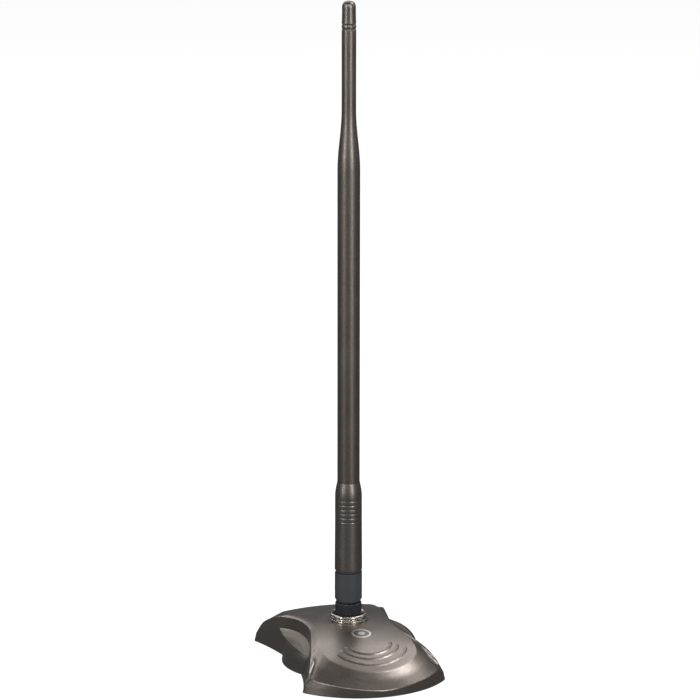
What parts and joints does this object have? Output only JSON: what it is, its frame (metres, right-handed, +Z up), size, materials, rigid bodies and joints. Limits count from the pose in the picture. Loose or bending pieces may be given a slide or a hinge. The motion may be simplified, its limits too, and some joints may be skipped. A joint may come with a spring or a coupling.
{
  "type": "omnidirectional antenna",
  "caption": "Desktop rod antenna: tapered bronze tube on a fold-and-swivel hinge with a screw connector, on a butterfly-shaped weighted base.",
  "frame": {"origin": "middle of the base on the desk, on the axis of the upright mast", "axes": "+Z up along the mast, front nose of the base with the raised waves towards -Y, +X to the right"},
  "size_m": [0.0702, 0.119, 0.3173],
  "materials": {
    "base_paint": "satin metallic bronze paint",
    "mast_paint": "satin metallic bronze paint",
    "dark_plastic": "matt dark grey",
    "grip_plastic": "satin black",
    "rubber": "matt black",
    "magnet": "nickel plated",
    "steel": "zinc plated",
    "polished_ring": "polished",
    "gilt_brass": "gold plated",
    "white_insulator": "white fluoropolymer",
    "brass": "drawn brass",
    "lead_jacket": "brown jacket"
  },
  "bodies": {
    "base": {"top_cover": "base_paint", "base_housing": "base_paint", "bottom_plate": "dark_plastic", "base_pad": "rubber", "corner_pads": "rubber", "ring_magnet": "magnet", "magnet_yoke": "steel", "ballast_ring": "steel", "base_screws": "steel", "cable_grommet": "rubber", "collar_ring": "polished_ring", "jack_body": "gilt_brass", "jack_insulator": "white_insulator", "jack_pin": "gilt_brass", "jack_nut": "steel", "jack_washer": "steel"},
    "connector": {"connector_core": "gilt_brass", "core_insulator": "white_insulator", "core_socket": "gilt_brass", "nut_clip": "gilt_brass", "stem_clip": "steel", "swivel_washer": "white_insulator"},
    "coupling_nut": {"nut_grip": "grip_plastic", "nut_insert": "brass"},
    "knuckle": {"hinge_knuckle": "dark_plastic", "hinge_pin": "steel", "hinge_washers": "white_insulator"},
    "mast": {"hinge_tongue": "dark_plastic", "lower_sleeve": "mast_paint", "radome_tube": "mast_paint", "tip_cap": "mast_paint", "feed_coax": "lead_jacket", "balun_sleeve": "brass", "feed_bead": "white_insulator", "lower_radiator": "brass", "lower_coil": "brass", "middle_radiator": "brass", "upper_coil": "brass", "upper_radiator": "brass", "radiator_spacers": "white_insulator"}
  },
  "joints": [
    {"name": "core_lift", "type": "slide", "parent": "base", "child": "connector", "axis": [0, 0, 1], "range_m": [0, 0.00353]},
    {"name": "nut_spin", "type": "hinge", "parent": "connector", "child": "coupling_nut", "pos_m": [0, 0, 0.026], "axis": [0, 0, 1], "range_deg": [0, 1800]},
    {"name": "mast_swivel", "type": "hinge", "parent": "connector", "child": "knuckle", "pos_m": [0, 0, 0.0301], "axis": [0, 0, 1], "range_deg": [-180, 180]},
    {"name": "mast_tilt", "type": "hinge", "parent": "knuckle", "child": "mast", "pos_m": [0, 0, 0.0375], "axis": [-1, 0, 0], "range_deg": [0, 90]}
  ],
  "couplings": [
    {"joint": "nut_spin", "follows": "core_lift", "rad_per_m": 8904.8}
  ]
}
